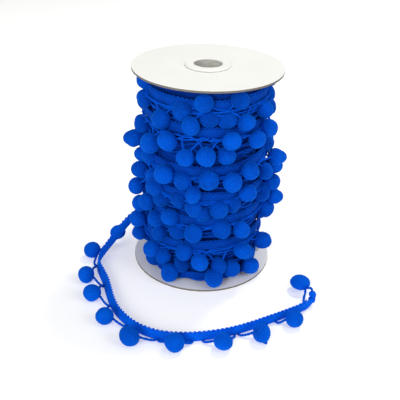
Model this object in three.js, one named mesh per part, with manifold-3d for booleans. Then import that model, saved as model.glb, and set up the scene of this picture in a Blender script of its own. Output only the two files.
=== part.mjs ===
// Pom pom trim wound on a card spool, with a loose end lying on the table in front of it.
// Millimetres, +Z up, the front of the spool faces -Y. The origin is on the spool's axis at the
// table. Azimuths are degrees round that axis: 0 is the front and +90 the right-hand side.

import * as THREE from 'three';
import { mergeVertices } from 'three/addons/utils/BufferGeometryUtils.js';
import Module from 'manifold-3d';

const wasm = await Module();
wasm.setup();

// Spool
const flangeRadius = 42.5;
const flangeThickness = 1.1;
const spoolHeight = 123.3;
const boreRadius = 8;
const tubeWall = 1.6;
const lipWidth = 4.8;
const lipThickness = 1.1;
const lipRound = 0.55;
const roundSteps = 48;
const clearance = 0.3;

// Trim
const braidWidth = 6.2;
const braidThickness = 1.7;
const pompomRadius = 5.1;
// A faceted ball's corners stand this far out, so that its size is a pompom's on average.
const ballRadius = 1.04 * pompomRadius;
const threadRadius = 0.55;
const floorFlat = 0.2;

// Wound form: a slight barrel, fullest at half height, with a soft groove between its braids
const woundRadius = 35.4;
const grooveDepth = 4.4;
const barrelDrop = 1.6;
const woundSteps = 24;
const outerFrom = 38.5;
const rootDepth = 3;

const blue = { color: '#0a55cf', roughness: 0.95, metalness: 0 };
const deepBlue = { color: '#0847b4', roughness: 0.95, metalness: 0 };
const card = { color: '#f6f5ef', roughness: 0.8, metalness: 0 };

// Turns of braid that show, from the bottom: height of the braid, how far it leans up to the
// right, and how far it sags at the front.
const turns = [
  { height: 5.4, lean: 0, sag: 0 },
  { height: 25.5, lean: 2, sag: -1.5 },
  { height: 46, lean: 0, sag: 2.5 },
  { height: 60, lean: -1, sag: 0.5 },
  { height: 78, lean: 1, sag: 3 },
  { height: 98, lean: -1, sag: 0 },
  { height: 114, lean: 0.5, sag: 1.5 },
];

// Pompoms on the front of the roll, from the top down.
// Columns of each pompom: azimuth in degrees, height, distance of its middle from the axis.
const frontPompoms = [
  [[-78, 116.4, 34.5], [-74, 106.5, 35.2], [-40, 102, 37.5], [-21, 109, 34.5], [-12, 102.5, 39]],
  [[-2, 114.5, 36.5], [3, 105.5, 33.5], [19, 104.5, 33.5], [28.5, 115.5, 36], [33, 103.5, 39]],
  [[60, 106, 36.5], [82, 110, 33.5]],
  [[-80, 90, 36.8], [-49, 87, 40], [-30, 92, 40], [-15, 84.5, 40], [1, 86, 40], [18, 85, 37]],
  [[20.5, 94.5, 40], [45, 92, 39.6], [62.5, 95, 39], [81, 80.5, 35.4]],
  [[-80, 81, 42.2], [-80, 71, 37], [-60, 75, 35.5], [-33, 72, 40], [-18, 69, 37], [4, 72, 40]],
  [[23, 70, 40], [38.5, 75, 40.5], [67, 67, 38], [80, 72.5, 42.6], [86, 65.5, 40.8]],
  [[-80, 61, 38], [-47, 60, 38], [-55, 64, 34.5], [-23, 56, 34], [-8, 63, 40], [-8, 53, 37]],
  [[14, 52, 37], [29, 53, 34], [38, 61, 40], [80, 56, 41], [-80, 50, 40.8], [-44, 52, 34]],
  [[70, 52, 36], [0, 49, 34], [-55, 48, 40], [80, 46, 42.6], [-30, 44, 37], [17, 39, 37]],
  [[-49, 37.5, 35.5], [-80, 38, 38.8], [80, 38, 38.2], [34, 38, 40], [-7, 38, 40], [-24, 35, 34]],
  [[-44, 29, 35], [-80, 27, 40], [-16, 23, 37], [37, 23, 40], [67, 20, 40], [-1, 19, 40]],
  [[-80, 17.5, 39.3], [-48, 18.5, 40], [-37, 16, 37], [17, 14, 37], [46, 18, 37]],
  [[-19, 12, 34], [29.5, 10, 37], [-28, 7.1, 39], [12, 7.1, 39], [50, 7.1, 39], [-57, 7.1, 34]],
];

// Pompoms on the back of the roll follow the turns at a regular pitch. Every other one is deeper
// and the rows are staggered, apart from the two ends of a row, which show beside the front.
const backPerTurn = 8;
const backFrom = 103;
const backPitch = 22.1;
const backOuter = { drop: 6, distance: 40.3 };
const backInner = { drop: -3, distance: 37 };
const backEnd = { drop: 1, distance: 36.6 };
const backScatter = 2.2;
// The loose end leaves the roll here, so no pompom is in its way.
const exitWindow = { from: 211, to: 277, low: 14, high: 34 };

// Route of the loose end's braid, chosen by hand: off the roll, down to the table, round the front
// in an open curve, and up at the cut end. Columns: x, y, z of the middle of the braid, and how
// many degrees its top edge leans towards the inside of the curve.
const looseRoute = [
  [-26.4, 24.6, 23.6, 0], [-32.4, 18.2, 24, 0], [-38.6, 10.8, 24, 0],
  [-44.4, 4, 22.2, 0], [-49, 0.8, 18, 0], [-53.4, -2.2, 13, 0],
  [-58, -6.6, 8.2, 0], [-61.4, -12, 5, 0], [-62.9, -18, 3.6, 6],
  [-61.9, -24.6, 3.2, 18], [-59, -31.4, 3.1, 28], [-55.5, -39.5, 3, 32],
  [-52.6, -48.3, 3, 32], [-49.3, -58.1, 3, 27], [-45.2, -66.4, 3.15, 20],
  [-40, -73.2, 3.2, 15], [-34.6, -78.4, 3.2, 12], [-29, -82, 3.2, 11],
  [-23, -84.6, 3.2, 10], [-16, -86, 3.2, 10], [-8, -86.1, 3.2, 8],
  [-0.8, -85.3, 3.2, 5], [6.6, -83.7, 3.2, 2], [13.6, -81.6, 3.2, 0],
  [20.6, -78.9, 3.2, 0], [28.5, -75, 3.2, 0], [36.2, -70.7, 3.2, 0],
  [44, -66.2, 3.2, 0], [51, -62, 3.2, 0], [57, -58.2, 3.3, 0],
  [60.8, -55.4, 3.5, 8], [63.2, -52.8, 4.3, 22], [64.6, -50.2, 5.6, 38],
];
const looseSteps = 46;

// Pompoms of the loose end, in order from the roll. The first hangs behind the falling braid.
// Columns: x, y, and how far the pompom is lifted off the table.
const loosePompoms = [
  [-54.3, 5.4, 4.0],
  [-68.4, -10.6, 0],
  [-67.6, -36.6, 0],
  [-61.2, -53.4, 0],
  [-51.2, -74.0, 0],
  [-35.8, -90.0, 0],
  [-12.1, -93.2, 0],
  [13.2, -90.4, 0],
  [33.4, -83.0, 0],
  [52.3, -69.6, 0],
  [59.2, -36.8, 0],
];
const loopReach = 6;
const lastLoop = { near: 11, far: 2.2 };

const group = new THREE.Group();

// A closed mesh as a solid that can be cut and joined.
function solid(geometry) {
  const bare = geometry.clone();
  bare.deleteAttribute('normal');
  bare.deleteAttribute('uv');
  const merged = mergeVertices(bare, 1e-4);
  return new wasm.Manifold(new wasm.Mesh({
    numProp: 3,
    vertProperties: new Float32Array(merged.attributes.position.array),
    triVerts: new Uint32Array(merged.index.array),
  }));
}

// A solid back as a geometry.
function geometryOf(manifold) {
  const mesh = manifold.getMesh();
  const geometry = new THREE.BufferGeometry();
  geometry.setAttribute('position', new THREE.BufferAttribute(mesh.vertProperties, 3));
  geometry.setIndex(new THREE.BufferAttribute(mesh.triVerts, 1));
  geometry.computeVertexNormals();
  return geometry;
}

function addPiece(name, geometry, finish) {
  const mesh = new THREE.Mesh(geometry, new THREE.MeshStandardMaterial(finish));
  mesh.name = name;
  group.add(mesh);
}

// A ring round the Z axis. Profile columns: radius, height, anticlockwise round the section.
function ring(profile, steps) {
  const closed = [...profile, profile[0]];
  const points = closed.map(([radius, height]) => new THREE.Vector2(radius, height));
  return new THREE.LatheGeometry(points, steps).rotateX(Math.PI / 2);
}

// A point on the roll from its azimuth, height and distance from the axis.
function onRoll(azimuth, height, distance) {
  const angle = THREE.MathUtils.degToRad(azimuth);
  return new THREE.Vector3(distance * Math.sin(angle), -distance * Math.cos(angle), height);
}

// How much less the roll's radius is at this height than at its fullest.
function barrel(height) {
  const fromMiddle = (2 * height) / spoolHeight - 1;
  return barrelDrop * fromMiddle * fromMiddle;
}

// The height of a turn of braid at an azimuth.
function braidHeight({ height, lean, sag }, azimuth) {
  const angle = THREE.MathUtils.degToRad(azimuth);
  return height + lean * Math.sin(angle) - sag * Math.cos(angle);
}

// A flat ribbon's path, which turns the ribbon's face to a given way all along.
class RibbonPath extends THREE.Curve {
  constructor(pointAt, faceAt) {
    super();
    this.pointAt = pointAt;
    this.faceAt = faceAt;
  }

  getPoint(t, target = new THREE.Vector3()) {
    return target.copy(this.pointAt(t));
  }

  // The tangent, the way the face looks and the way the width runs, at a share of the length.
  frameAt(share) {
    const tangent = this.getTangentAt(share);
    const face = this.faceAt(this.getUtoTmapping(share), tangent);
    const across = new THREE.Vector3().crossVectors(tangent, face).normalize();
    const normal = new THREE.Vector3().crossVectors(across, tangent).normalize();
    return { tangent, normal, across };
  }

  computeFrenetFrames(steps) {
    const frames = Array.from({ length: steps + 1 }, (_, step) => this.frameAt(step / steps));
    return {
      tangents: frames.map((frame) => frame.tangent),
      normals: frames.map((frame) => frame.normal),
      binormals: frames.map((frame) => frame.across),
    };
  }
}

// The section of the loose braid, with its long edges eased.
function ribbonSection(thickness, width, ease) {
  const x = thickness / 2;
  const y = width / 2;
  const corners = [
    [x, -y + ease], [x, y - ease], [x - ease, y], [-x + ease, y],
    [-x, y - ease], [-x, -y + ease], [-x + ease, -y], [x - ease, -y],
  ];
  return new THREE.Shape(corners.map(([px, py]) => new THREE.Vector2(px, py)));
}

function sweep(section, path, steps) {
  return new THREE.ExtrudeGeometry(section, { extrudePath: path, steps, bevelEnabled: false });
}

// A pompom of the roll, with a cone for the root that holds it in the winding. One that lies deep
// has fewer faces.
function woundPompom([azimuth, height, distance]) {
  const [sides, bands] = distance < outerFrom ? [6, 3] : [8, 4];
  const centre = onRoll(azimuth, height, distance);
  const outward = onRoll(azimuth, 0, 1);
  const turned = new THREE.Quaternion().setFromUnitVectors(new THREE.Vector3(0, 1, 0), outward);
  const ball = new THREE.SphereGeometry(ballRadius, sides, bands).applyQuaternion(turned);
  const reach = distance - (woundRadius - grooveDepth - rootDepth);
  const points = ball.attributes.position;
  const point = new THREE.Vector3();
  for (let index = 0; index < points.count; index += 1) {
    point.fromBufferAttribute(points, index);
    if (point.dot(outward) < -0.99 * ballRadius) {
      point.setLength(Math.max(ballRadius, reach));
    }
    points.setXYZ(index, ...point.add(centre).toArray());
  }
  return solid(ball);
}

// A repeatable scatter between -1 and 1.
let scatterState = 20117;
function scatter() {
  scatterState = (scatterState * 16807) % 2147483647;
  return (2 * scatterState) / 2147483647 - 1;
}

function atExit([azimuth, height]) {
  return azimuth > exitWindow.from && azimuth < exitWindow.to
    && height > exitWindow.low && height < exitWindow.high;
}

function backPompoms() {
  const lowest = flangeThickness + clearance + ballRadius;
  const places = turns.flatMap((turn, row) => Array.from({ length: backPerTurn }, (_, index) => {
    const between = (row + index) % 2 ? backInner : backOuter;
    const kind = index % (backPerTurn - 1) ? between : backEnd;
    const azimuth = backFrom + backPitch * index + backScatter * scatter();
    const wanted = braidHeight(turn, azimuth) - kind.drop + backScatter * scatter();
    const height = Math.max(lowest, Math.min(wanted, spoolHeight - lowest));
    return [azimuth, height, kind.distance - barrel(height)];
  }));
  return places.filter((place) => !atExit(place));
}

function buildSpool() {
  const tubeRadius = boreRadius + tubeWall;
  const holeRadius = tubeRadius + clearance;
  const disc = (base) => ring([
    [holeRadius, base],
    [flangeRadius, base],
    [flangeRadius, base + flangeThickness],
    [holeRadius, base + flangeThickness],
  ], roundSteps);
  addPiece('bottom_flange', disc(0), card);
  addPiece('top_flange', disc(spoolHeight - flangeThickness), card);
  const lipBase = spoolHeight + clearance;
  const lipRadius = boreRadius + lipWidth;
  addPiece('core_tube', ring([
    [boreRadius, 0],
    [tubeRadius, 0],
    [tubeRadius, lipBase],
    [lipRadius, lipBase],
    [lipRadius, lipBase + lipThickness - lipRound],
    [lipRadius - lipRound, lipBase + lipThickness],
    [boreRadius + lipRound, lipBase + lipThickness],
    [boreRadius, lipBase + lipThickness - lipRound],
  ], roundSteps), card);
}

// The wound body: rows of its section are the edges of each braid and the grooves between them.
function woundBody() {
  const base = flangeThickness + clearance;
  const top = spoolHeight - base;
  const inner = boreRadius + tubeWall + clearance;
  const rows = turns.flatMap((turn, index) => {
    const edges = [-0.5, 0.5].map((edge) => ({ turn, offset: edge * braidWidth, deep: 0 }));
    const next = turns[index + 1];
    return next ? [...edges, { turn, next, offset: 0, deep: grooveDepth }] : edges;
  });
  const first = { turn: { height: base, lean: 0, sag: 0 }, offset: 0, deep: grooveDepth };
  const last = { turn: { height: top, lean: 0, sag: 0 }, offset: 0, deep: grooveDepth };
  const outline = [first, ...rows, last];
  const profile = [[inner, base], ...outline.map((_, index) => [woundRadius, index]), [inner, top]];
  const body = ring(profile, woundSteps);
  const points = body.attributes.position;
  const heightAt = ({ turn, next, offset }, azimuth) => {
    const own = braidHeight(turn, azimuth);
    return next ? (own + braidHeight(next, azimuth)) / 2 : own + offset;
  };
  for (let index = 0; index < points.count; index += 1) {
    const row = outline[(index % (profile.length + 1)) - 1];
    if (row) {
      const azimuth = THREE.MathUtils.radToDeg(Math.atan2(points.getX(index), -points.getY(index)));
      const height = heightAt(row, azimuth);
      const place = onRoll(azimuth, height, woundRadius - barrel(height) - row.deep);
      points.setXYZ(index, ...place.toArray());
    }
  }
  return solid(body);
}

// The outer skin alone of a shape, so that a pocket closed off within it is filled.
function filled(shape) {
  return shape.decompose().reduce((a, b) => (a.volume() > b.volume() ? a : b));
}

function buildWoundTrim() {
  const places = [...frontPompoms.flat(), ...backPompoms()];
  const shape = wasm.Manifold.union([woundBody(), ...places.map(woundPompom)]);
  addPiece('wound_trim', geometryOf(filled(shape)), deepBlue);
}

const looseCurve = new THREE.CatmullRomCurve3(
  looseRoute.map(([x, y, z]) => new THREE.Vector3(x, y, z)),
  false,
  'centripetal',
);

// How far the loose braid leans at a share of its route's points, in radians.
function looseLean(t) {
  const place = t * (looseRoute.length - 1);
  const before = Math.min(Math.floor(place), looseRoute.length - 2);
  const [from, to] = [looseRoute[before][3], looseRoute[before + 1][3]];
  return THREE.MathUtils.degToRad(THREE.MathUtils.lerp(from, to, place - before));
}

// The loose braid stands on its edge, its face towards the outside of the curve.
const loosePath = new RibbonPath(
  (t) => looseCurve.getPoint(t),
  (t, tangent) => {
    const outward = new THREE.Vector3(tangent.y, -tangent.x, 0).normalize();
    const lean = looseLean(t);
    return outward.multiplyScalar(Math.cos(lean)).setZ(Math.sin(lean));
  },
);

function buildLooseBraid() {
  const section = ribbonSection(braidThickness, braidWidth, 0.4);
  addPiece('loose_end', sweep(section, loosePath, looseSteps), blue);
}

// The share of the loose braid's length that lies nearest a point.
function nearestShare(point) {
  const shares = Array.from({ length: 401 }, (_, index) => index / 400);
  const distances = shares.map((share) => loosePath.getPointAt(share).distanceTo(point));
  return shares[distances.indexOf(Math.min(...distances))];
}

// The end of a thread: beside an edge of the loose braid, on the pompom's side.
function threadEnd(share, centre, edge) {
  const { normal, across } = loosePath.frameAt(share);
  const point = loosePath.getPointAt(share);
  const side = Math.sign(centre.clone().sub(point).dot(normal));
  const off = braidThickness / 2 + clearance + threadRadius * 1.1;
  const width = Math.sign(across.z) * edge * (braidWidth / 2 - threadRadius);
  return point.addScaledVector(normal, side * off).addScaledVector(across, width);
}

function thread(from, to) {
  const middle = from.clone().add(to).multiplyScalar(0.5);
  middle.z += 0.4;
  const path = new THREE.QuadraticBezierCurve3(from, middle, to);
  const section = new THREE.Shape().absarc(0, 0, threadRadius, 0, 2 * Math.PI, false);
  const outline = new THREE.Shape(section.getSpacedPoints(4).slice(0, 4));
  return solid(sweep(outline, path, 3));
}

function buildLoosePompoms() {
  const length = loosePath.getLength();
  const span = 60;
  const floor = solid(new THREE.BoxGeometry(4 * span, 4 * span, span).translate(0, 0, -span / 2));
  loosePompoms.forEach(([x, y, lift], index) => {
    const centre = new THREE.Vector3(x, y, ballRadius - floorFlat + lift);
    const last = index === loosePompoms.length - 1;
    const middle = nearestShare(centre);
    const shares = last ? [1 - lastLoop.near / length, 1 - lastLoop.far / length]
      : [middle - loopReach / length, middle + loopReach / length];
    const edges = last ? [1, 1] : [-1, -1];
    const threads = shares.map((share, arm) => {
      const end = threadEnd(share, centre, edges[arm]);
      const inside = centre.clone().lerp(end, 0.25);
      return thread(end, inside);
    });
    const ball = new THREE.IcosahedronGeometry(ballRadius, 1).translate(...centre.toArray());
    const shape = wasm.Manifold.union([solid(ball), ...threads]);
    const name = `loose_pompom_${String(index + 1).padStart(2, '0')}`;
    addPiece(name, geometryOf(shape.subtract(floor)), blue);
  });
}

buildSpool();
buildWoundTrim();
buildLooseBraid();
buildLoosePompoms();

export default group;
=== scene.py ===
import math
import bmesh
import bpy
import numpy as np
from mathutils import Matrix, Vector


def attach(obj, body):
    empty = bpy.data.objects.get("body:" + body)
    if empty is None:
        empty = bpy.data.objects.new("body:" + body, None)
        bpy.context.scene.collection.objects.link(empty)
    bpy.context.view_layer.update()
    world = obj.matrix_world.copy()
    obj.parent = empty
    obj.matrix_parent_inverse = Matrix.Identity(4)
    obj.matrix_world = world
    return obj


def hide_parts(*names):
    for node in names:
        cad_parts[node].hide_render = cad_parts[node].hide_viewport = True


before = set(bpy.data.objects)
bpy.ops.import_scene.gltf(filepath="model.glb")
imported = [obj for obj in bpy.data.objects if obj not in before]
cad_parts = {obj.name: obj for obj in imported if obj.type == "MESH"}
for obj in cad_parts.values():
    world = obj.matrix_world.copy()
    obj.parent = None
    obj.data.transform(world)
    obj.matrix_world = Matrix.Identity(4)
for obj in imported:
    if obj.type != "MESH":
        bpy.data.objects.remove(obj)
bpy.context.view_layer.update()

# Lengths below are in millimetres and turn into metres where a mesh is made. Azimuths are degrees
# round the spool's axis: 0 is the front (-Y) and +90 the right-hand side (+X).
MM = 0.001

# Camera, fitted to the rims of both flanges in the photograph, and where the lights point, in metres.
IMAGE_PX = 400
FOCAL_PX = 648.07
SENSOR_MM = 36.0
CAMERA_BACK = 348.9
CAMERA_UP = 232.8
CAMERA_YAW = math.radians(-0.320)
CAMERA_PITCH = math.radians(29.190)
CAMERA_ROLL = math.radians(1.934)
LIGHT_TARGET = Vector((0, -0.02, 0.05))

# Spool.
FLANGE_RADIUS = 42.5
FLANGE_THICKNESS = 1.1
SPOOL_HEIGHT = 123.3
BORE_RADIUS = 8.0

# Trim.
BRAID_WIDTH = 6.2
PICOT_HEIGHT = 1.0
PICOT_PITCH = 2.5
BRAID_THICKNESS = 1.7
RIB_PITCH = 1.3
POMPOM_RADIUS = 5.1
THREAD_RADIUS = 0.55
PICOT_RADIUS = 0.4

# How far the loose pompoms stay above the height that the spool stands at, and the floor below it.
FLOOR_GAP = 0.04
FLOOR_DEPTH = 0.05

# The roll: its outer turns of braid, and how much nearer to the axis its ends are.
WOUND_RADIUS = 35.4
BRAID_DISTANCE = WOUND_RADIUS - 0.4
LOWEST_TURN_LENGTH = 2 * math.pi * 34
BARREL_DROP = 1.6

# The layers beneath: a body with a hole round the core, and the turns whose edges show on it.
LAYER_RADIUS = 31.6
LAYER_HOLE = 9.9
LAYER_GAP = 0.3
LAYER_TURNS = 26
LAYER_TURN_RADIUS = 32.3
LAYER_TURN_LENGTH = 2 * math.pi * 33
LAYER_TURN_INSET = 5.2
LAYER_TURN_LIMIT = 4.9

# Turns of braid that show, from the bottom: height, lean up to the right, sag at the front.
TURNS = [
    (5.4, 0, 0),
    (25.5, 2, -1.5),
    (46, 0, 2.5),
    (60, -1, 0.5),
    (78, 1, 3),
    (98, -1, 0),
    (114, 0.5, 1.5),
]

# Pompoms on the front of the roll, from the top down, then two deep ones at its left edge: azimuth,
# height, distance from the axis.
FRONT_POMPOMS = [
    (-78, 116.4, 34.5), (-74, 106.5, 35.2), (-40, 102, 37.5), (-21, 109, 34.5), (-12, 102.5, 39),
    (-2, 114.5, 36.5), (3, 105.5, 33.5), (19, 104.5, 33.5), (28.5, 115.5, 36), (33, 103.5, 39),
    (60, 106, 36.5), (82, 110, 33.5), (-80, 90, 36.8), (-49, 87, 40), (-30, 92, 40),
    (-15, 84.5, 40), (1, 86, 40), (18, 85, 37), (20.5, 94.5, 40), (45, 92, 39.6), (62.5, 95, 39),
    (81, 80.5, 35.4), (-80, 81, 42.2), (-80, 71, 37), (-60, 75, 35.5), (-33, 72, 40), (-18, 69, 37),
    (4, 72, 40), (23, 70, 40), (38.5, 75, 40.5), (67, 67, 38), (80, 72.5, 43), (86, 65.5, 40.8),
    (-80, 61, 38), (-47, 60, 38), (-55, 64, 34.5), (-23, 56, 34), (-8, 63, 40), (-8, 53, 37),
    (14, 52, 37), (29, 53, 34), (38, 61, 40), (80, 56, 41), (-80, 50, 40.8), (-44, 52, 34),
    (70, 52, 36), (0, 49, 34), (-55, 48, 40), (82, 46, 43.6), (-30, 44, 37), (17, 39, 37),
    (-49, 37.5, 35.5), (-80, 38, 38.8), (80, 38, 38.2), (34, 38, 40), (-7, 38, 40), (-24, 35, 34),
    (-44, 29, 35), (-80, 27, 40), (-16, 23, 37), (37, 23, 40), (67, 20, 40), (-1, 19, 40),
    (-80, 17.5, 39.3), (-48, 18.5, 40), (-37, 16, 37), (17, 14, 37), (46, 18, 37), (-19, 12, 34),
    (29.5, 10, 37), (-28, 7.1, 39), (12, 7.1, 39), (50, 7.1, 39), (-57, 7.1, 34),
    (-86, 98.5, 31), (-88, 27, 35.5),
]
# Pompoms on the back: how many to a turn, the first one's azimuth and the pitch in degrees, how far
# each kind hangs below the braid and stands from the axis, the same for both ends of a row, the
# scatter, and the least height.
BACK_PER_TURN = 8
BACK_FROM = 103
BACK_PITCH = 22.1
BACK_KINDS = [(6, 40.3), (-3, 37)]
BACK_END = (1, 36.6)
BACK_SCATTER = 2.2
BACK_LOWEST = 7.0

# Where the loose end leaves the roll: no back pompom stands in this window, and the braid of the
# turn ends at this azimuth and distance.
EXIT_AZIMUTH = (211, 277)
EXIT_HEIGHT = (14, 34)
LAST_TURN = 1
LAST_AZIMUTH = 227
LAST_DISTANCE = 36.09

# Azimuths behind the roll between which one turn passes down to the next, and into the last one.
CROSSING = (145, 215)
LAST_CROSSING = (180, 265)
FULL_TURN = 360

# Route of the loose end's braid, as in the CAD: x, y, z of its middle, and how far its top leans
# inward, in degrees.
LOOSE_ROUTE = [
    (-26.4, 24.6, 23.6, 0), (-32.4, 18.2, 24, 0), (-38.6, 10.8, 24, 0),
    (-44.4, 4, 22.2, 0), (-49, 0.8, 18, 0), (-53.4, -2.2, 13, 0),
    (-58, -6.6, 8.2, 0), (-61.4, -12, 5, 0), (-62.9, -18, 3.6, 6),
    (-61.9, -24.6, 3.2, 18), (-59, -31.4, 3.1, 28), (-55.5, -39.5, 3, 32),
    (-52.6, -48.3, 3, 32), (-49.3, -58.1, 3, 27), (-45.2, -66.4, 3.15, 20),
    (-40, -73.2, 3.2, 15), (-34.6, -78.4, 3.2, 12), (-29, -82, 3.2, 11),
    (-23, -84.6, 3.2, 10), (-16, -86, 3.2, 10), (-8, -86.1, 3.2, 8),
    (-0.8, -85.3, 3.2, 5), (6.6, -83.7, 3.2, 2), (13.6, -81.6, 3.2, 0),
    (20.6, -78.9, 3.2, 0), (28.5, -75, 3.2, 0), (36.2, -70.7, 3.2, 0),
    (44, -66.2, 3.2, 0), (51, -62, 3.2, 0), (57, -58.2, 3.3, 0),
    (60.8, -55.4, 3.5, 8), (63.2, -52.8, 4.3, 22), (64.6, -50.2, 5.6, 38),
]
# Pompoms of the loose end: x, y, lift off the table, how far along the braid the two arms of the
# thread reach from the pompom, and its radius.
LOOSE_POMPOMS = [
    (-54.3, 5.4, 4.0, 7, 5.0), (-68.4, -10.6, 0, 9, 5.2), (-67.6, -36.6, 0, 11, 5.1),
    (-61.2, -53.4, 0, 10, 4.9), (-51.2, -74.0, 0, 10, 5.0), (-35.8, -90.0, 0, 10, 5.5),
    (-12.1, -93.2, 0, 9, 5.2), (13.2, -90.4, 0, 9, 5.2), (33.4, -83.0, 0, 9, 5.2),
    (52.3, -69.6, 0, 8, 4.9), (59.2, -36.8, 0, 0, 5.3),
]

# How light the yarn is, from 0 to 1, with shade and light painted in: painted shade darkens the
# roll's braid and its deep pompoms, and painted light brightens the loose end. A pompom's tone falls
# from the common one to the deep one between these two distances from the axis.
WOUND_SHADED_TONE = 0.12
POMPOM_TONE = 0.5
DEEP_SHADED_TONE = 0.24
DEEP_FROM, DEEP_TO = 40, 34
PICOT_TONE = 0.7
LOOSE_LIT_TONE = 0.62

rng = np.random.default_rng(212)


# Places on the roll.
def barrel(height):
    """How much nearer to the axis the roll's surface is towards its ends."""
    return BARREL_DROP * (2 * height / SPOOL_HEIGHT - 1) ** 2


def on_roll(azimuth, height, distance):
    """Points of the given azimuths, heights and distances from the axis."""
    angle = np.radians(azimuth)
    parts = np.broadcast_arrays(distance * np.sin(angle), -distance * np.cos(angle), height)
    return np.stack(parts, -1).astype(float)


def braid_height(turn, azimuth):
    """The height of a turn's middle at an azimuth."""
    height, lean, sag = turn
    return height + lean * np.sin(np.radians(azimuth)) - sag * np.cos(np.radians(azimuth))


def scatter_draws(count):
    """Numbers from -1 to 1 that scatter the back pompoms in the same way as in the CAD."""
    state, factor, modulus = 20117, 16807, 2147483647
    draws = []
    for _ in range(count):
        state = state * factor % modulus
        draws.append(2 * state / modulus - 1)
    return draws


def back_pompoms():
    draws = scatter_draws(2 * BACK_PER_TURN * len(TURNS))
    places = []
    for row, turn in enumerate(TURNS):
        for index in range(BACK_PER_TURN):
            at_end = index in (0, BACK_PER_TURN - 1)
            drop, distance = BACK_END if at_end else BACK_KINDS[(row + index) % 2]
            azimuth = BACK_FROM + BACK_PITCH * index + BACK_SCATTER * draws.pop(0)
            wanted = braid_height(turn, azimuth) - drop + BACK_SCATTER * draws.pop(0)
            height = max(BACK_LOWEST, min(wanted, SPOOL_HEIGHT - BACK_LOWEST))
            in_way = (EXIT_AZIMUTH[0] < azimuth < EXIT_AZIMUTH[1]
                      and EXIT_HEIGHT[0] < height < EXIT_HEIGHT[1])
            if not in_way:
                places.append((azimuth, height, distance - barrel(height)))
    return places


# Curves.
def unit(vectors):
    return vectors / np.maximum(np.linalg.norm(vectors, axis=-1, keepdims=True), 1e-9)


def smooth(points, per_span=14):
    """A centripetal Catmull-Rom curve through the points, whose fourth column goes along."""
    p = np.array(points, float)
    p = np.vstack([2 * p[0] - p[1], p, 2 * p[-1] - p[-2]])
    u = np.linspace(0, 1, per_span, endpoint=False)[:, None]
    out = []
    for a, b, c, d in zip(p[:-3], p[1:-2], p[2:-1], p[3:]):
        t1, t2, t3 = (np.linalg.norm((q - r)[:3]) ** 0.5 for q, r in ((b, a), (c, b), (d, c)))
        m1 = ((b - a) / t1 - (c - a) / (t1 + t2) + (c - b) / t2) * t2
        m2 = ((c - b) / t2 - (d - b) / (t2 + t3) + (d - c) / t3) * t2
        out.append((2 * u**3 - 3 * u**2 + 1) * b + (u**3 - 2 * u**2 + u) * m1
                   + (3 * u**2 - 2 * u**3) * c + (u**3 - u**2) * m2)
    return np.vstack(out + [p[-2][None]])


def resample(points, step):
    """Points a fixed distance apart along a line, and how far along it each lies."""
    runs = np.linalg.norm(np.diff(points[:, :3], axis=0), axis=1)
    along = np.concatenate([[0], np.cumsum(runs)])
    marks = np.linspace(0, along[-1], max(2, round(along[-1] / step) + 1))
    columns = [np.interp(marks, along, points[:, k]) for k in range(points.shape[1])]
    return np.stack(columns, 1), marks


def tangents(points):
    return unit(np.gradient(points, axis=0))


def bezier(a, b, c, d, steps):
    u = np.linspace(0, 1, steps + 1)[:, None]
    return (1 - u)**3 * a + 3 * u * (1 - u)**2 * b + 3 * u**2 * (1 - u) * c + u**3 * d


# Meshes.
class Shape:
    """Collects points and faces of one piece."""

    def __init__(self):
        self.points, self.faces, self.tones, self.count = [], [], [], 0

    def add(self, points, faces, tone=0.5):
        self.points.append(points)
        self.tones.append(np.broadcast_to(tone, len(points)))
        self.faces += [part + self.count for part in faces]
        self.count += len(points)

    def piece(self, name, material, slot):
        mesh = bpy.data.meshes.new(name)
        points = np.concatenate(self.points) * MM
        corners = np.concatenate([part.ravel() for part in self.faces]).astype(np.int32)
        sizes = np.concatenate([np.full(len(part), part.shape[1]) for part in self.faces])
        starts = np.concatenate([[0], np.cumsum(sizes)[:-1]]).astype(np.int32)
        mesh.vertices.add(len(points))
        mesh.vertices.foreach_set("co", points.astype(np.float32).ravel())
        mesh.loops.add(len(corners))
        mesh.loops.foreach_set("vertex_index", corners)
        mesh.polygons.add(len(sizes))
        mesh.polygons.foreach_set("loop_start", starts)
        mesh.polygons.foreach_set("use_smooth", np.ones(len(sizes), bool))
        tone = mesh.attributes.new("tone", "FLOAT", "POINT")
        tone.data.foreach_set("value", np.concatenate(self.tones).astype(np.float32))
        mesh.materials.append(material)
        mesh.update(calc_edges=True)
        mesh.validate()
        thing = bpy.data.objects.new(name, mesh)
        bpy.context.scene.collection.objects.link(thing)
        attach(thing, "root")
        return thing


def skin(rings, closed=False):
    """Faces over rings of points, which run anticlockwise seen against the way they follow on."""
    count, sides = rings.shape[:2]
    index = np.arange(count * sides).reshape(count, sides)
    following = np.roll(index, -1, axis=0) if closed else index[1:]
    here = index if closed else index[:-1]
    quads = np.stack([here, np.roll(here, -1, 1), np.roll(following, -1, 1), following], -1)
    faces = [quads.reshape(-1, 4)]
    if not closed:
        faces += [index[:1, ::-1], index[-1:]]
    return rings.reshape(-1, 3), faces


def tape_frames(points, closed=False, lean=None):
    """Tangent, the way to the inner side, and the way up, along a tape on its edge."""
    if closed:
        tangent = unit(np.roll(points, -1, 0) - np.roll(points, 1, 0))
    else:
        tangent = tangents(points)
    inner = unit(np.stack([-tangent[:, 1], tangent[:, 0], np.zeros(len(tangent))], 1))
    up = unit(np.cross(tangent, inner))
    if lean is not None:
        angle = np.radians(lean)[:, None]
        inner, up = (inner * np.cos(angle) - up * np.sin(angle),
                     up * np.cos(angle) + inner * np.sin(angle))
    return tangent, inner, up


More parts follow.
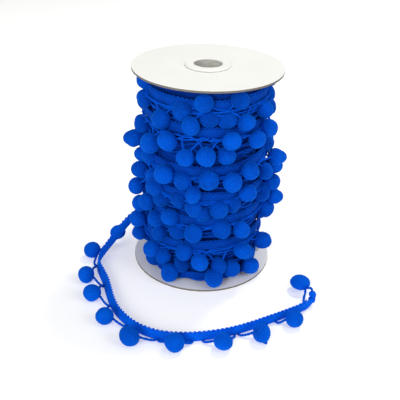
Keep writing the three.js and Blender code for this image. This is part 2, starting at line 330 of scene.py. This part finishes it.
def tape(shape, points, marks, sides, pitch=RIB_PITCH, closed=False, thick=1.0, narrow=1.0,
         tone=0.5, lean=None):
    """A ribbed tape on its edge, a flat oval in section; its picots go above it."""
    _, inner, up = tape_frames(points, closed, lean)
    angle = np.linspace(0, 2 * np.pi, sides, endpoint=False)
    flat = np.sign(np.cos(angle)) * np.abs(np.cos(angle)) ** 0.55
    wide = np.sign(np.sin(angle)) * np.abs(np.sin(angle)) ** 0.75
    body = BRAID_WIDTH - PICOT_HEIGHT
    drift = 0.35 * np.sin(marks / 7.3) + 0.25 * np.sin(marks / 2.9 + 1)
    rib = np.abs(np.cos(np.pi * (marks[:, None] / pitch + drift[:, None] + 0.5 * np.abs(wide))))
    swell = np.broadcast_to(thick, len(points))[:, None]
    narrow = np.broadcast_to(narrow, len(points))[:, None]
    groove = 1 - 0.16 * np.exp(-(wide / 0.16) ** 2)
    a = BRAID_THICKNESS / 2 * flat * (0.84 + 0.16 * rib) * swell * groove
    b = body / 2 * wide * (0.97 + 0.03 * rib) * narrow - PICOT_HEIGHT / 2
    rings = points[:, None] + a[..., None] * inner[:, None] + b[..., None] * up[:, None]
    # Painted shade: the tone follows the ribs, lighter on their crests and darker in the grooves
    # between them.
    tones = np.clip(tone + 0.3 * (rib - 0.7), 0, 1)
    shape.add(*skin(rings, closed), tones.ravel())


def cord(shape, points, radius=THREAD_RADIUS, sides=6, ply=0.2, turn=2.4, tone=0.4):
    """A twisted two-ply thread along the points."""
    tangent = tangents(points)
    normal = np.zeros_like(points)
    last = np.cross(tangent[0], (0.31, 0.27, 0.91))
    for i, t in enumerate(tangent):
        last = last - t * (last @ t)
        last = last / np.linalg.norm(last)
        normal[i] = last
    across = np.cross(tangent, normal)
    marks = np.concatenate([[0], np.cumsum(np.linalg.norm(np.diff(points, axis=0), axis=1))])
    angle = np.linspace(0, 2 * np.pi, sides, endpoint=False)
    size = np.broadcast_to(radius, len(points))[:, None]
    reach = size * (1 + ply * np.cos(2 * angle[None] - turn * marks[:, None] * 2))
    rings = (points[:, None] + (reach * np.cos(angle))[..., None] * normal[:, None]
             + (reach * np.sin(angle))[..., None] * across[:, None])
    shape.add(*skin(rings), tone)


def picots(shape, points, marks, sides=5, lean=None, tone=PICOT_TONE):
    """The scalloped thread along a tape's upper edge."""
    _, inner, up = tape_frames(points, lean=lean)
    rise = np.abs(np.sin(np.pi * marks / PICOT_PITCH)) ** 0.7
    sway = np.sin(2 * np.pi * marks / PICOT_PITCH)
    foot = BRAID_WIDTH / 2 - PICOT_HEIGHT - PICOT_RADIUS
    path = points + up * (foot + PICOT_HEIGHT * rise)[:, None]
    cord(shape, path + inner * (0.28 * sway)[:, None], PICOT_RADIUS, sides, 0, 0, tone)


def ball_form(level):
    form = bmesh.new()
    bmesh.ops.create_icosphere(form, subdivisions=level, radius=1)
    points = np.array([v.co for v in form.verts])
    faces = np.array([[v.index for v in f.verts] for f in form.faces])
    form.free()
    return unit(points), faces


BALLS = {level: ball_form(level) for level in (3, 4, 5)}


def waves(directions, count, low, high):
    """A smooth random field on the directions, about -1 to 1."""
    normals = unit(rng.normal(size=(count, 3)))
    rates = rng.uniform(low, high, count)
    phases = rng.uniform(0, 2 * np.pi, count)
    return np.sin(rates * (directions @ normals.T) + phases).mean(1) * 1.6


def pompom(shape, centre, level, radius=POMPOM_RADIUS, point=None, floor=None, roof=None,
           stretch=(1, 1, 1), tone=0.5):
    """A clipped ball of yarn pile, a little uneven, with the ends of its yarn as small bumps."""
    directions, faces = BALLS[level]
    turn = rng.uniform(0, 6.28)
    pole = Vector(unit(rng.normal(size=3)))
    turned = directions @ np.array(Matrix.Rotation(turn, 3, pole))
    # Uneven bulk, tufts of pile, the grain of its yarn ends, and a few that stick out.
    bulk = 1 + 0.085 * waves(turned, 5, 1.5, 3.2) + 0.03 * waves(turned, 7, 4, 8)
    tuft = waves(turned, 9, 16, 30)
    grain = rng.normal(0, 1, len(turned))
    stray = rng.random(len(turned)) > 0.985
    reach = radius * (bulk + 0.007 * tuft + 0.0045 * grain + 0.03 * stray)
    if point is not None:
        toward = turned @ unit(np.array(point, float))
        reach = reach + radius * 0.22 * np.clip((toward - 0.68) / 0.32, 0, 1) ** 1.3
    axis = unit(rng.normal(size=3))
    squash = rng.uniform(-0.14, 0.06)
    offset = turned * reach[:, None]
    offset = (offset + squash * (offset @ axis)[:, None] * axis) * stretch
    points = np.array(centre, float) + offset
    if floor is not None:
        points[:, 2] = np.maximum(points[:, 2], floor)
    if roof is not None:
        points[:, 2] = np.minimum(points[:, 2], roof)
    # Painted shade: the tone follows the pile, lighter where it stands out and darker in its hollows,
    # with random patches of dye on top.
    tones = tone + 0.1 * tuft + 0.08 * grain + 0.12 * waves(turned, 4, 1, 3)
    shape.add(points, [faces], np.clip(tones, 0, 1))


# Materials.
def new_material(name, roughness, specular=0.2):
    material = bpy.data.materials.new(name)
    material.use_nodes = True
    shader = material.node_tree.nodes["Principled BSDF"]
    shader.inputs["Roughness"].default_value = roughness
    shader.inputs["Specular IOR Level"].default_value = specular
    return material, material.node_tree, shader


def add_node(tree, kind, inputs=(), **settings):
    node = tree.nodes.new(kind)
    for key, value in settings.items():
        setattr(node, key, value)
    for key, value in dict(inputs).items():
        if isinstance(value, bpy.types.NodeSocket):
            tree.links.new(value, node.inputs[key])
        else:
            node.inputs[key].default_value = value
    return node


def ramp(tree, factor, stops):
    node = add_node(tree, "ShaderNodeValToRGB", {"Fac": factor})
    elements = node.color_ramp.elements
    for element, (place, colour) in zip(elements, (stops[0], stops[-1])):
        element.position = place
        element.color = (*colour, 1)
    for place, colour in stops[1:-1]:
        elements.new(place).color = (*colour, 1)
    return node.outputs["Color"]


def yarn_material(name, dark, middle, light, sheen, roughness, grain, bump_mm):
    """Dyed yarn: its tone attribute holds painted shade and light, noise its uneven dye and lint."""
    material, tree, shader = new_material(name, roughness, 0.04)
    place = add_node(tree, "ShaderNodeTexCoord").outputs["Object"]
    tone = add_node(tree, "ShaderNodeAttribute", attribute_name="tone").outputs["Fac"]
    dye = add_node(tree, "ShaderNodeTexNoise", {"Vector": place, "Scale": 160, "Detail": 3})
    mixed = add_node(tree, "ShaderNodeMath", {0: dye.outputs["Fac"], 1: 0.45, 2: tone},
                     operation="MULTIPLY_ADD")
    shifted = add_node(tree, "ShaderNodeMath", {0: mixed.outputs[0], 1: 0.225},
                       operation="SUBTRACT")
    colour = ramp(tree, shifted.outputs[0], [(0.1, dark), (0.5, middle), (0.95, light)])
    tree.links.new(colour, shader.inputs["Base Color"])
    lint = add_node(tree, "ShaderNodeTexNoise", {"Vector": place, "Scale": grain, "Detail": 4,
                                                 "Roughness": 0.65})
    bump = add_node(tree, "ShaderNodeBump", {"Height": lint.outputs["Fac"], "Strength": 0.5,
                                             "Distance": bump_mm * MM})
    tree.links.new(bump.outputs["Normal"], shader.inputs["Normal"])
    rough = add_node(tree, "ShaderNodeMapRange", {"Value": lint.outputs["Fac"],
                                                  "To Min": roughness - 0.1, "To Max": roughness})
    tree.links.new(rough.outputs["Result"], shader.inputs["Roughness"])
    shader.inputs["Sheen Weight"].default_value = sheen
    shader.inputs["Sheen Roughness"].default_value = 0.45
    shader.inputs["Sheen Tint"].default_value = (0.0, 0.28, 1.0, 1)
    return material


PAPER_DARK = (0.865, 0.862, 0.822)
PAPER_LIGHT = (0.905, 0.902, 0.862)


def card_material(name, edge_from, edge_to, edge_colour):
    """White facing paper; the raw card shows where the distance from the axis is in the band."""
    material, tree, shader = new_material(name, 0.75, 0.25)
    place = add_node(tree, "ShaderNodeTexCoord").outputs["Object"]
    flat = add_node(tree, "ShaderNodeVectorMath", {0: place, 1: (1, 1, 0)}, operation="MULTIPLY")
    away = add_node(tree, "ShaderNodeVectorMath", {0: flat.outputs[0]}, operation="LENGTH")
    band = [add_node(tree, "ShaderNodeMath", {0: away.outputs["Value"], 1: limit * MM},
                     operation=kind).outputs[0]
            for limit, kind in ((edge_from, "GREATER_THAN"), (edge_to, "LESS_THAN"))]
    raw = add_node(tree, "ShaderNodeMath", {0: band[0], 1: band[1]}, operation="MULTIPLY")
    fibre = add_node(tree, "ShaderNodeTexNoise", {"Vector": place, "Scale": 900, "Detail": 5,
                                                  "Roughness": 0.7})
    cloud = add_node(tree, "ShaderNodeTexNoise", {"Vector": place, "Scale": 60, "Detail": 3})
    speck = add_node(tree, "ShaderNodeMath", {0: fibre.outputs["Fac"], 1: 0.35,
                                              2: cloud.outputs["Fac"]}, operation="MULTIPLY_ADD")
    paper = ramp(tree, speck.outputs[0], [(0.35, PAPER_DARK), (0.95, PAPER_LIGHT)])
    squeezed = add_node(tree, "ShaderNodeMapping", {"Vector": place, "Scale": (1, 1, 14)})
    layer = add_node(tree, "ShaderNodeTexNoise", {"Vector": squeezed.outputs[0], "Scale": 420,
                                                  "Detail": 4})
    dark = tuple(0.7 * c for c in edge_colour)
    light = tuple(min(1, 1.35 * c) for c in edge_colour)
    core = ramp(tree, layer.outputs["Fac"], [(0.3, dark), (0.7, light)])
    both = add_node(tree, "ShaderNodeMix", {"Factor": raw.outputs[0], 6: paper, 7: core},
                    data_type="RGBA")
    tree.links.new(both.outputs[2], shader.inputs["Base Color"])
    bump = add_node(tree, "ShaderNodeBump", {"Height": fibre.outputs["Fac"], "Strength": 0.25,
                                             "Distance": 0.06 * MM})
    tree.links.new(bump.outputs["Normal"], shader.inputs["Normal"])
    rough = add_node(tree, "ShaderNodeMapRange", {"Value": fibre.outputs["Fac"],
                                                  "To Min": 0.62, "To Max": 0.85})
    tree.links.new(rough.outputs["Result"], shader.inputs["Roughness"])
    return material


pile_yarn = yarn_material("pile_yarn", dark=(0.0, 0.04, 0.32), middle=(0.0, 0.073, 0.535),
                          light=(0.0, 0.108, 0.71), sheen=0.55, roughness=0.95, grain=2600,
                          bump_mm=0.12)
braid_yarn = yarn_material("braid_yarn", dark=(0.0, 0.045, 0.36), middle=(0.0, 0.092, 0.66),
                           light=(0.0, 0.145, 0.88), sheen=0.2, roughness=0.85, grain=2600,
                           bump_mm=0.12)
# Painted shade: a darker copy of the blue yarn for the layers deep inside the roll.
shaded_inner_yarn = yarn_material("shaded_inner_yarn", dark=(0.0, 0.016, 0.16), middle=(0.0, 0.04, 0.34),
                           light=(0.0, 0.07, 0.52), sheen=0.1, roughness=0.9, grain=1500,
                           bump_mm=0.3)
flange_card = card_material("flange_card", edge_from=FLANGE_RADIUS - 0.13,
                            edge_to=2 * FLANGE_RADIUS, edge_colour=(0.17, 0.152, 0.135))
tube_card = card_material("tube_card", edge_from=0, edge_to=BORE_RADIUS + 0.05,
                          edge_colour=(0.52, 0.515, 0.47))

for node, material in (("bottom_flange", flange_card), ("top_flange", flange_card),
                       ("core_tube", tube_card)):
    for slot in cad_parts[node].material_slots:
        slot.material = material


# The wound trim.
def smoothstep(values, low, high):
    x = np.clip((values - low) / (high - low), 0, 1)
    return x * x * (3 - 2 * x)


def outer_winding():
    """The braid of the outer layer, from the top turn down to where the loose end leaves."""
    lines = []
    for row in range(len(TURNS) - 1, LAST_TURN - 1, -1):
        last = row == LAST_TURN
        azimuth = np.arange(-180, (LAST_AZIMUTH if last else 179) + 0.01, 1.0)
        height = braid_height(TURNS[row], azimuth)
        if row < len(TURNS) - 1:
            above = braid_height(TURNS[row + 1], azimuth)
            begun, done = LAST_CROSSING if last else CROSSING
            share = smoothstep(azimuth, begun - FULL_TURN, done - FULL_TURN)
            height = above + (height - above) * share
        if row > LAST_TURN + 1:
            below = braid_height(TURNS[row - 1], azimuth)
            height = height + (below - height) * smoothstep(azimuth, *CROSSING)
        lift = 0
        if last:
            leave = smoothstep(azimuth, 150, LAST_AZIMUTH)
            height = height + (LOOSE_ROUTE[0][2] - height) * leave
            lift = leave * (LAST_DISTANCE - (BRAID_DISTANCE - barrel(height)))
        ripple = (0.35 * np.sin(np.radians(azimuth * 5 + 40 * row))
                  + 0.2 * np.sin(np.radians(azimuth * 11 + 70 * row)))
        ripple = ripple * (1 - smoothstep(azimuth, 190, LAST_AZIMUTH))
        distance = BRAID_DISTANCE - barrel(height) + lift + 0.6 * ripple
        lines.append(on_roll(azimuth, height + ripple, distance))
    return np.vstack(lines)


def build_wound_layers():
    """The layers beneath: a closed body, and the edges of the turns that lie on it."""
    layer = Shape()
    sides = 90
    azimuth = np.linspace(-180, 180, sides, endpoint=False)
    lowest = FLANGE_THICKNESS + LAYER_GAP
    levels = np.linspace(lowest, SPOOL_HEIGHT - lowest, 50)
    rows = [(LAYER_HOLE, levels[0])]
    rows += [(LAYER_RADIUS - barrel(level), level) for level in levels]
    rows += [(LAYER_HOLE, levels[-1])]
    rings = np.stack([on_roll(azimuth, height, distance) for distance, height in rows])
    rings[1:-1, :, :2] *= 1 + 0.012 * rng.normal(size=(len(levels), sides, 1))
    # Painted shade: the body beneath the turns is darker still.
    layer.add(*skin(rings, closed=True), 0.25)

    count = int(LAYER_TURN_LENGTH / (0.65))
    azimuth = np.linspace(-180, 180, count, endpoint=False)
    around = np.radians(azimuth)
    marks = np.arange(count) * LAYER_TURN_LENGTH / count
    for middle in np.linspace(LAYER_TURN_INSET, SPOOL_HEIGHT - LAYER_TURN_INSET, LAYER_TURNS):
        phase = rng.uniform(0, 6.28, 4)
        height = middle + (1.1 * np.sin(around + phase[0]) + 0.8 * np.sin(2 * around + phase[1])
                           + 0.35 * np.sin(7 * around + phase[2]))
        height = np.clip(height, LAYER_TURN_LIMIT, SPOOL_HEIGHT - LAYER_TURN_LIMIT)
        distance = LAYER_TURN_RADIUS + rng.uniform(-0.5, 0.6) + 0.35 * np.sin(4 * around + phase[3])
        points = on_roll(azimuth, height, distance - barrel(height))
        tape(layer, points, marks, 8, 1.5, True, tone=0.4)
    return layer.piece("wound_layers", shaded_inner_yarn, "braid")


def build_wound_braid():
    """The turns of the outer layer, with their picots."""
    outer = Shape()
    points, marks = resample(outer_winding(), 0.4)
    # Painted shade: the roll's braid and picots are darker than the loose end's.
    tape(outer, points, marks, 12, tone=WOUND_SHADED_TONE)
    picots(outer, points, marks, tone=WOUND_SHADED_TONE + 0.15)
    # The lowest turn belongs to the layer before, so it closes on itself.
    count = 540
    azimuth = np.linspace(-180, 180, count, endpoint=False)
    height = braid_height(TURNS[0], azimuth)
    ring = on_roll(azimuth, height, BRAID_DISTANCE - barrel(height))
    marks = np.linspace(0, LOWEST_TURN_LENGTH, count, endpoint=False)
    tape(outer, ring, marks, 12, closed=True, tone=WOUND_SHADED_TONE)
    return outer.piece("wound_braid", braid_yarn, "braid")


THREAD_STEPS = 9
ALL_ROUND = np.arange(-180, 180.1, 1.5)
# The garlands under each braid: pitch in degrees, and sag.
GARLANDS = [(31, 1.8), (47, 2.6), (22, 1.2)]
# Where threads wander round between two turns, as shares of the way up.
WANDER_SHARES = (0.36, 0.5, 0.64)
SLACK_LENGTHS = 150
# A slack length of thread: share of its spread, rise, and how deep it lies.
SLACK_FORM = [(0, 0, 2.2), (0.35, -1.5, 0), (0.7, -1.2, -0.3), (1, 0.6, 2.2)]
# The loops that stand clear of the roll on the right: height, rise, and reach from the axis.
CLEAR_LOOPS = [(44, 8, 39.2), (48, 5, 38.4)]


def lower_edge(turn, azimuth):
    return braid_height(turn, azimuth) - BRAID_WIDTH / 2


def add_arms(threads, places):
    """Each pompom hangs from the braid by two arms of thread."""
    for azimuth, height, distance in places:
        gaps = [abs(lower_edge(turn, azimuth) - height - 2.1) for turn in TURNS]
        turn = TURNS[gaps.index(min(gaps))]
        for side in (-1, 1):
            spread = side * rng.uniform(7, 24)
            edge = lower_edge(turn, azimuth + spread) + rng.uniform(0, 0.8)
            face = WOUND_RADIUS + 0.5 - barrel(edge)
            start = on_roll(azimuth + spread, edge, face)
            leave = on_roll(azimuth + spread * rng.uniform(0.1, 0.6), edge - rng.uniform(-0.5, 3),
                            face + rng.uniform(0, 0.9))
            near = on_roll(azimuth + spread * rng.uniform(0, 0.35), height + rng.uniform(1, 4),
                           max(distance - rng.uniform(0, 2), face))
            end = on_roll(azimuth, height + 0.5, distance - 0.8)
            line = bezier(start, leave, near, end, THREAD_STEPS)
            cord(threads, line, THREAD_RADIUS * 0.95)


def add_garlands(threads):
    """The thread runs on from pompom to pompom in slack garlands under each braid."""
    for turn in TURNS[1:]:
        for ply, (pitch, sag) in enumerate(GARLANDS):
            shift = rng.uniform(0, 180)
            warp = ALL_ROUND + 14 * np.sin(np.radians(ALL_ROUND * 5 + shift))
            wave = np.abs(np.sin(np.radians((warp + shift) * 180 / pitch)))
            loose = 0.6 + 0.4 * np.sin(np.radians(ALL_ROUND * 3 + shift))
            height = lower_edge(turn, ALL_ROUND) + 0.5 - sag * wave * loose
            face = WOUND_RADIUS + 0.7 - barrel(height) + 0.7 * (wave - 0.3) * loose + 0.3 * ply
            cord(threads, on_roll(ALL_ROUND, height, face), THREAD_RADIUS * 0.85, 5)


def add_wandering(threads):
    """Threads that wander round the roll between two turns."""
    for turn, above in zip(TURNS, TURNS[1:]):
        for share in WANDER_SHARES:
            shift = rng.uniform(0, 180)
            middle = (braid_height(turn, ALL_ROUND) * (1 - share)
                      + braid_height(above, ALL_ROUND) * share)
            wave = (np.sin(np.radians(ALL_ROUND * 5 + shift))
                    + 0.5 * np.sin(np.radians(ALL_ROUND * 13 + 2 * shift)))
            depth = WOUND_RADIUS - 1.5 - barrel(middle) + 0.6 * np.cos(np.radians(ALL_ROUND * 7))
            line = on_roll(ALL_ROUND, middle + 1.1 * wave, depth)
            cord(threads, line, THREAD_RADIUS, 5, tone=0.3)


def add_slack(threads):
    """Slack lengths of thread that cross the gaps."""
    for _ in range(SLACK_LENGTHS):
        azimuth = rng.uniform(-180, 180)
        height = rng.uniform(8, SPOOL_HEIGHT - 8)
        spread = rng.uniform(10, 24) * rng.choice((-1, 1))
        climb = rng.uniform(-3, 3)
        depth = WOUND_RADIUS - barrel(height) - rng.uniform(0.2, 2.2)
        line = [on_roll(azimuth + spread * share, np.clip(height + climb * share + rise, 3, 119.5),
                        depth - deep) for share, rise, deep in SLACK_FORM]
        radius = THREAD_RADIUS * rng.uniform(0.7, 1.0)
        cord(threads, bezier(*line, THREAD_STEPS), radius, tone=0.3)


def add_clear_loops(threads):
    """Slack loops that stand clear of the roll on the right."""
    for base, rise, out in CLEAR_LOOPS:
        line = [on_roll(84, base, 34.5), on_roll(88, base + 0.5, out), on_roll(90, base + rise, out),
                on_roll(86, base + rise, 34.5)]
        cord(threads, bezier(*line, 14), THREAD_RADIUS * 0.8)


def build_wound_threads(places):
    threads = Shape()
    add_arms(threads, places)
    add_garlands(threads)
    add_wandering(threads)
    add_slack(threads)
    add_clear_loops(threads)
    return threads.piece("wound_threads", braid_yarn, "braid")


# The roll's pompoms are three pieces: from which height, up to which, and the end of the name.
POMPOM_BANDS = [(-1, 45, "lower"), (45, 80, "middle"), (80, 130, "upper")]
# Outer pompoms on the front get a finer mesh; the farthest are drawn to a point, and set back.
FRONT_HALF = 100
FINE_FROM = 35.5
POINTED_FROM = 42
POINT_SETBACK = 1
FLANGE_GAP = 0.15


def build_wound_pompoms(places):
    lowest = FLANGE_THICKNESS + FLANGE_GAP
    highest = SPOOL_HEIGHT - lowest
    pieces = []
    for low, high, name in POMPOM_BANDS:
        shape = Shape()
        for azimuth, height, distance in places:
            if not low <= height < high:
                continue
            front = abs((azimuth + 180) % FULL_TURN - 180) < FRONT_HALF
            level = 5 if front and distance > FINE_FROM else 4
            pointed = distance > POINTED_FROM
            tip = on_roll(azimuth, 0, 1.0) + (0, 0, 0.15) if pointed else None
            centre = on_roll(azimuth, height, distance - (POINT_SETBACK if pointed else 0))
            radius = POMPOM_RADIUS * rng.uniform(0.95, 1.08)
            # Painted shade: pompoms nearer the axis are darker.
            tone = np.interp(distance, (DEEP_TO, DEEP_FROM), (DEEP_SHADED_TONE, POMPOM_TONE))
            pompom(shape, centre, level, radius, tip, lowest, highest, tone=tone)
        pieces.append(shape.piece("wound_pompoms_" + name, pile_yarn, "pompom_yarn"))
    return pieces


places = FRONT_POMPOMS + back_pompoms()
for piece in (build_wound_layers(), build_wound_braid(), build_wound_threads(places),
              *build_wound_pompoms(places)):
    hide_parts("wound_trim")


# The loose end.
loose_line, loose_marks = resample(smooth(LOOSE_ROUTE), 0.33)
loose_line, loose_lean = loose_line[:, :3], loose_line[:, 3]
loose_length = loose_marks[-1]
loose_tangent, loose_inner, loose_up = tape_frames(loose_line, lean=loose_lean)


def beside(along, out, up):
    """A point beside the loose braid: how far along it, out towards its outer face, and up."""
    index = int(np.clip(round(along / loose_marks[1]), 0, len(loose_marks) - 1))
    return loose_line[index] - out * loose_inner[index] + up * loose_up[index]


KNOB_RADIUS = 2.1
# The two lobes of the knob at the cut end: how far back from the end, and how far up.
KNOB_LOBES = [(0.4, 1.4), (1.0, -1.4)]
CUT_ENDS = 12


def build_loose_braid():
    shape = Shape()
    sealed = 1 + 0.5 * smoothstep(loose_marks, loose_length - 5, loose_length - 2)
    drawn_in = 1 - 0.4 * smoothstep(loose_marks, loose_length - 9, loose_length - 3)
    # Painted light: the loose end's braid and its knob are lighter than the roll's.
    tape(shape, loose_line, loose_marks, 16, thick=sealed, narrow=drawn_in, tone=LOOSE_LIT_TONE,
         lean=loose_lean)
    edged = loose_marks < loose_length - 6
    picots(shape, loose_line[edged], loose_marks[edged], 6, loose_lean[edged])
    # The cut end is drawn together into a knob of two lobes.
    for back, up in KNOB_LOBES:
        centre = beside(loose_length - back, 0, 0) + (0, 0, up)
        pompom(shape, centre, 3, KNOB_RADIUS, tone=LOOSE_LIT_TONE)
    # Short ends of yarn at the cut.
    for _ in range(CUT_ENDS):
        up = rng.uniform(-2.4, 2.2)
        start = beside(loose_length, rng.uniform(-0.7, 0.7), up)
        way = loose_tangent[-1] + rng.normal(0, 0.3, 3)
        line = bezier(start - 0.8 * way, start, start + 0.4 * way,
                      start + rng.uniform(0.6, 1.2) * way + (0, 0, 0.2), 4)
        cord(shape, line, np.linspace(0.3, 0.12, 5), 5)
    piece = shape.piece("loose_braid", braid_yarn, "braid")
    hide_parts("loose_end")
    return piece


ARM_RADIUS = THREAD_RADIUS * 1.25
ARM_LOWEST = THREAD_RADIUS * 1.6
ARM_STEPS = 16
TUFTED_POMPOM = 9


def side_arms(centre, reach):
    """Two arms of thread, from the braid's lower edge on either side to a pompom beside it."""
    along = loose_marks[np.linalg.norm(loose_line - centre, axis=1).argmin()]
    way = loose_tangent[int(along / loose_marks[1])]
    low = -BRAID_WIDTH / 2 + 0.6
    face = BRAID_THICKNESS / 2
    toward = unit(beside(along, 0, low) - centre)
    target = centre + toward * POMPOM_RADIUS * 0.72
    arms = []
    for side in (-1, 1):
        end = beside(along + side * reach, face, low)
        leave = beside(along + side * reach * 0.9, face + 3.4, low)
        near = target + toward * 1.4 + way * side * 3.6
        arms.append((end, leave, near, target))
    return arms


def end_arms(centre):
    """One arm rises from the braid, the other arches over to the top of the cut end."""
    target = centre + (2.4, -3.6, -1.2)
    rising = beside(loose_length - 8, -BRAID_THICKNESS / 2, 1.8)
    arching = beside(loose_length - 0.6, 0, 0) + (0, 0, 3.2)
    return [(rising, rising + (-0.8, 3, 0.6), target + (0.6, -4, -0.5), target),
            (arching, arching + (-1.0, 3.0, 2.6), target + (3.5, -1.6, 0.6), target)]


def add_tuft(shape, centre):
    """A stray tuft low on the right of a pompom."""
    start = centre + (1.5, -2.8, -3.0)
    line = bezier(start, start + (0.4, -0.6, -0.2), start + (0.9, -1.0, -0.4),
                  start + (1.3, -1.5, -0.5), 6)
    cord(shape, line, np.array([1.1, 1.1, 1.05, 1.0, 0.9, 0.8, 0.5]), 8)


def build_loose_pompom(index, x, y, lift, reach, radius):
    shape = Shape()
    centre = np.array((x, y, radius - 0.1 + lift))
    last = index == len(LOOSE_POMPOMS)
    # Painted light: the loose end's arms and pompoms are lighter than the roll's.
    for arm in end_arms(centre) if last else side_arms(centre, reach):
        line = bezier(*arm, ARM_STEPS)
        line[:, 2] = np.maximum(line[:, 2], ARM_LOWEST)
        cord(shape, line, ARM_RADIUS, 7, tone=LOOSE_LIT_TONE)
    if index == TUFTED_POMPOM:
        add_tuft(shape, centre)
    stretch = (1.12, 1.05, 0.94) if last else (1, 1, 1)
    pompom(shape, centre, 5, radius, floor=FLOOR_GAP, stretch=stretch,
           tone=LOOSE_LIT_TONE)
    piece = shape.piece(f"pompom_on_end_{index:02d}", pile_yarn, "pompom_yarn")
    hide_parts(f"loose_pompom_{index:02d}")
    return piece


loose_braid = build_loose_braid()
loose_pompoms = [build_loose_pompom(index, *row) for index, row in enumerate(LOOSE_POMPOMS, 1)]


# Camera, floor and light.
def add_camera():
    """The camera at the place and angles named at the top."""
    forward = Vector((math.sin(CAMERA_YAW) * math.cos(CAMERA_PITCH),
                      math.cos(CAMERA_YAW) * math.cos(CAMERA_PITCH), -math.sin(CAMERA_PITCH)))
    level = Vector((math.cos(CAMERA_YAW), -math.sin(CAMERA_YAW), 0))
    upright = level.cross(forward)
    right = level * math.cos(CAMERA_ROLL) + upright * math.sin(CAMERA_ROLL)
    up = upright * math.cos(CAMERA_ROLL) - level * math.sin(CAMERA_ROLL)
    data = bpy.data.cameras.new("camera")
    data.sensor_width = SENSOR_MM
    data.lens = FOCAL_PX * SENSOR_MM / IMAGE_PX
    data.clip_start, data.clip_end = 0.01, 30
    camera = bpy.data.objects.new("camera", data)
    turn = Matrix((right, up, -forward)).transposed().to_4x4()
    camera.matrix_world = Matrix.Translation((0, -CAMERA_BACK * MM, CAMERA_UP * MM)) @ turn
    bpy.context.scene.collection.objects.link(camera)
    bpy.context.scene.camera = camera


def add_floor():
    """A pale floor, just below the spool's flange so that the two faces don't meet."""
    bpy.ops.mesh.primitive_circle_add(vertices=128, radius=6, fill_type="NGON",
                                      location=(0, 0, -FLOOR_DEPTH * MM))
    floor = bpy.context.object
    floor.name = "floor"
    material, _, shader = new_material("floor_paper", 0.9, 0.05)
    shader.inputs["Base Color"].default_value = (0.85, 0.85, 0.84, 1)
    shader.inputs["Emission Color"].default_value = (1, 1, 1, 1)
    shader.inputs["Emission Strength"].default_value = 0.34
    floor.data.materials.append(material)


def add_light(name, place, size, power):
    """A round soft light that points at the spool: place and size in metres, power in watts."""
    data = bpy.data.lights.new(name, "AREA")
    data.shape, data.size, data.energy = "DISK", size, power
    light = bpy.data.objects.new(name, data)
    light.location = place
    aim = LIGHT_TARGET - Vector(place)
    light.rotation_euler = aim.to_track_quat("-Z", "Y").to_euler()
    bpy.context.scene.collection.objects.link(light)


def add_world(strength):
    """Even white light from all round."""
    world = bpy.data.worlds.new("studio")
    world.use_nodes = True
    background = world.node_tree.nodes["Background"]
    background.inputs["Color"].default_value = (1, 1, 1, 1)
    background.inputs["Strength"].default_value = strength
    bpy.context.scene.world = world


add_camera()
add_floor()
add_light("softbox_left", place=(-0.5, -1.0, 0.6), size=0.6, power=7)
add_light("softbox_right", place=(0.9, -0.6, 0.8), size=0.7, power=4)
add_light("softbox_top", place=(0.35, 0.45, 1.0), size=0.22, power=4.6)
add_world(0.42)
bpy.context.scene.view_settings.view_transform = "Standard"
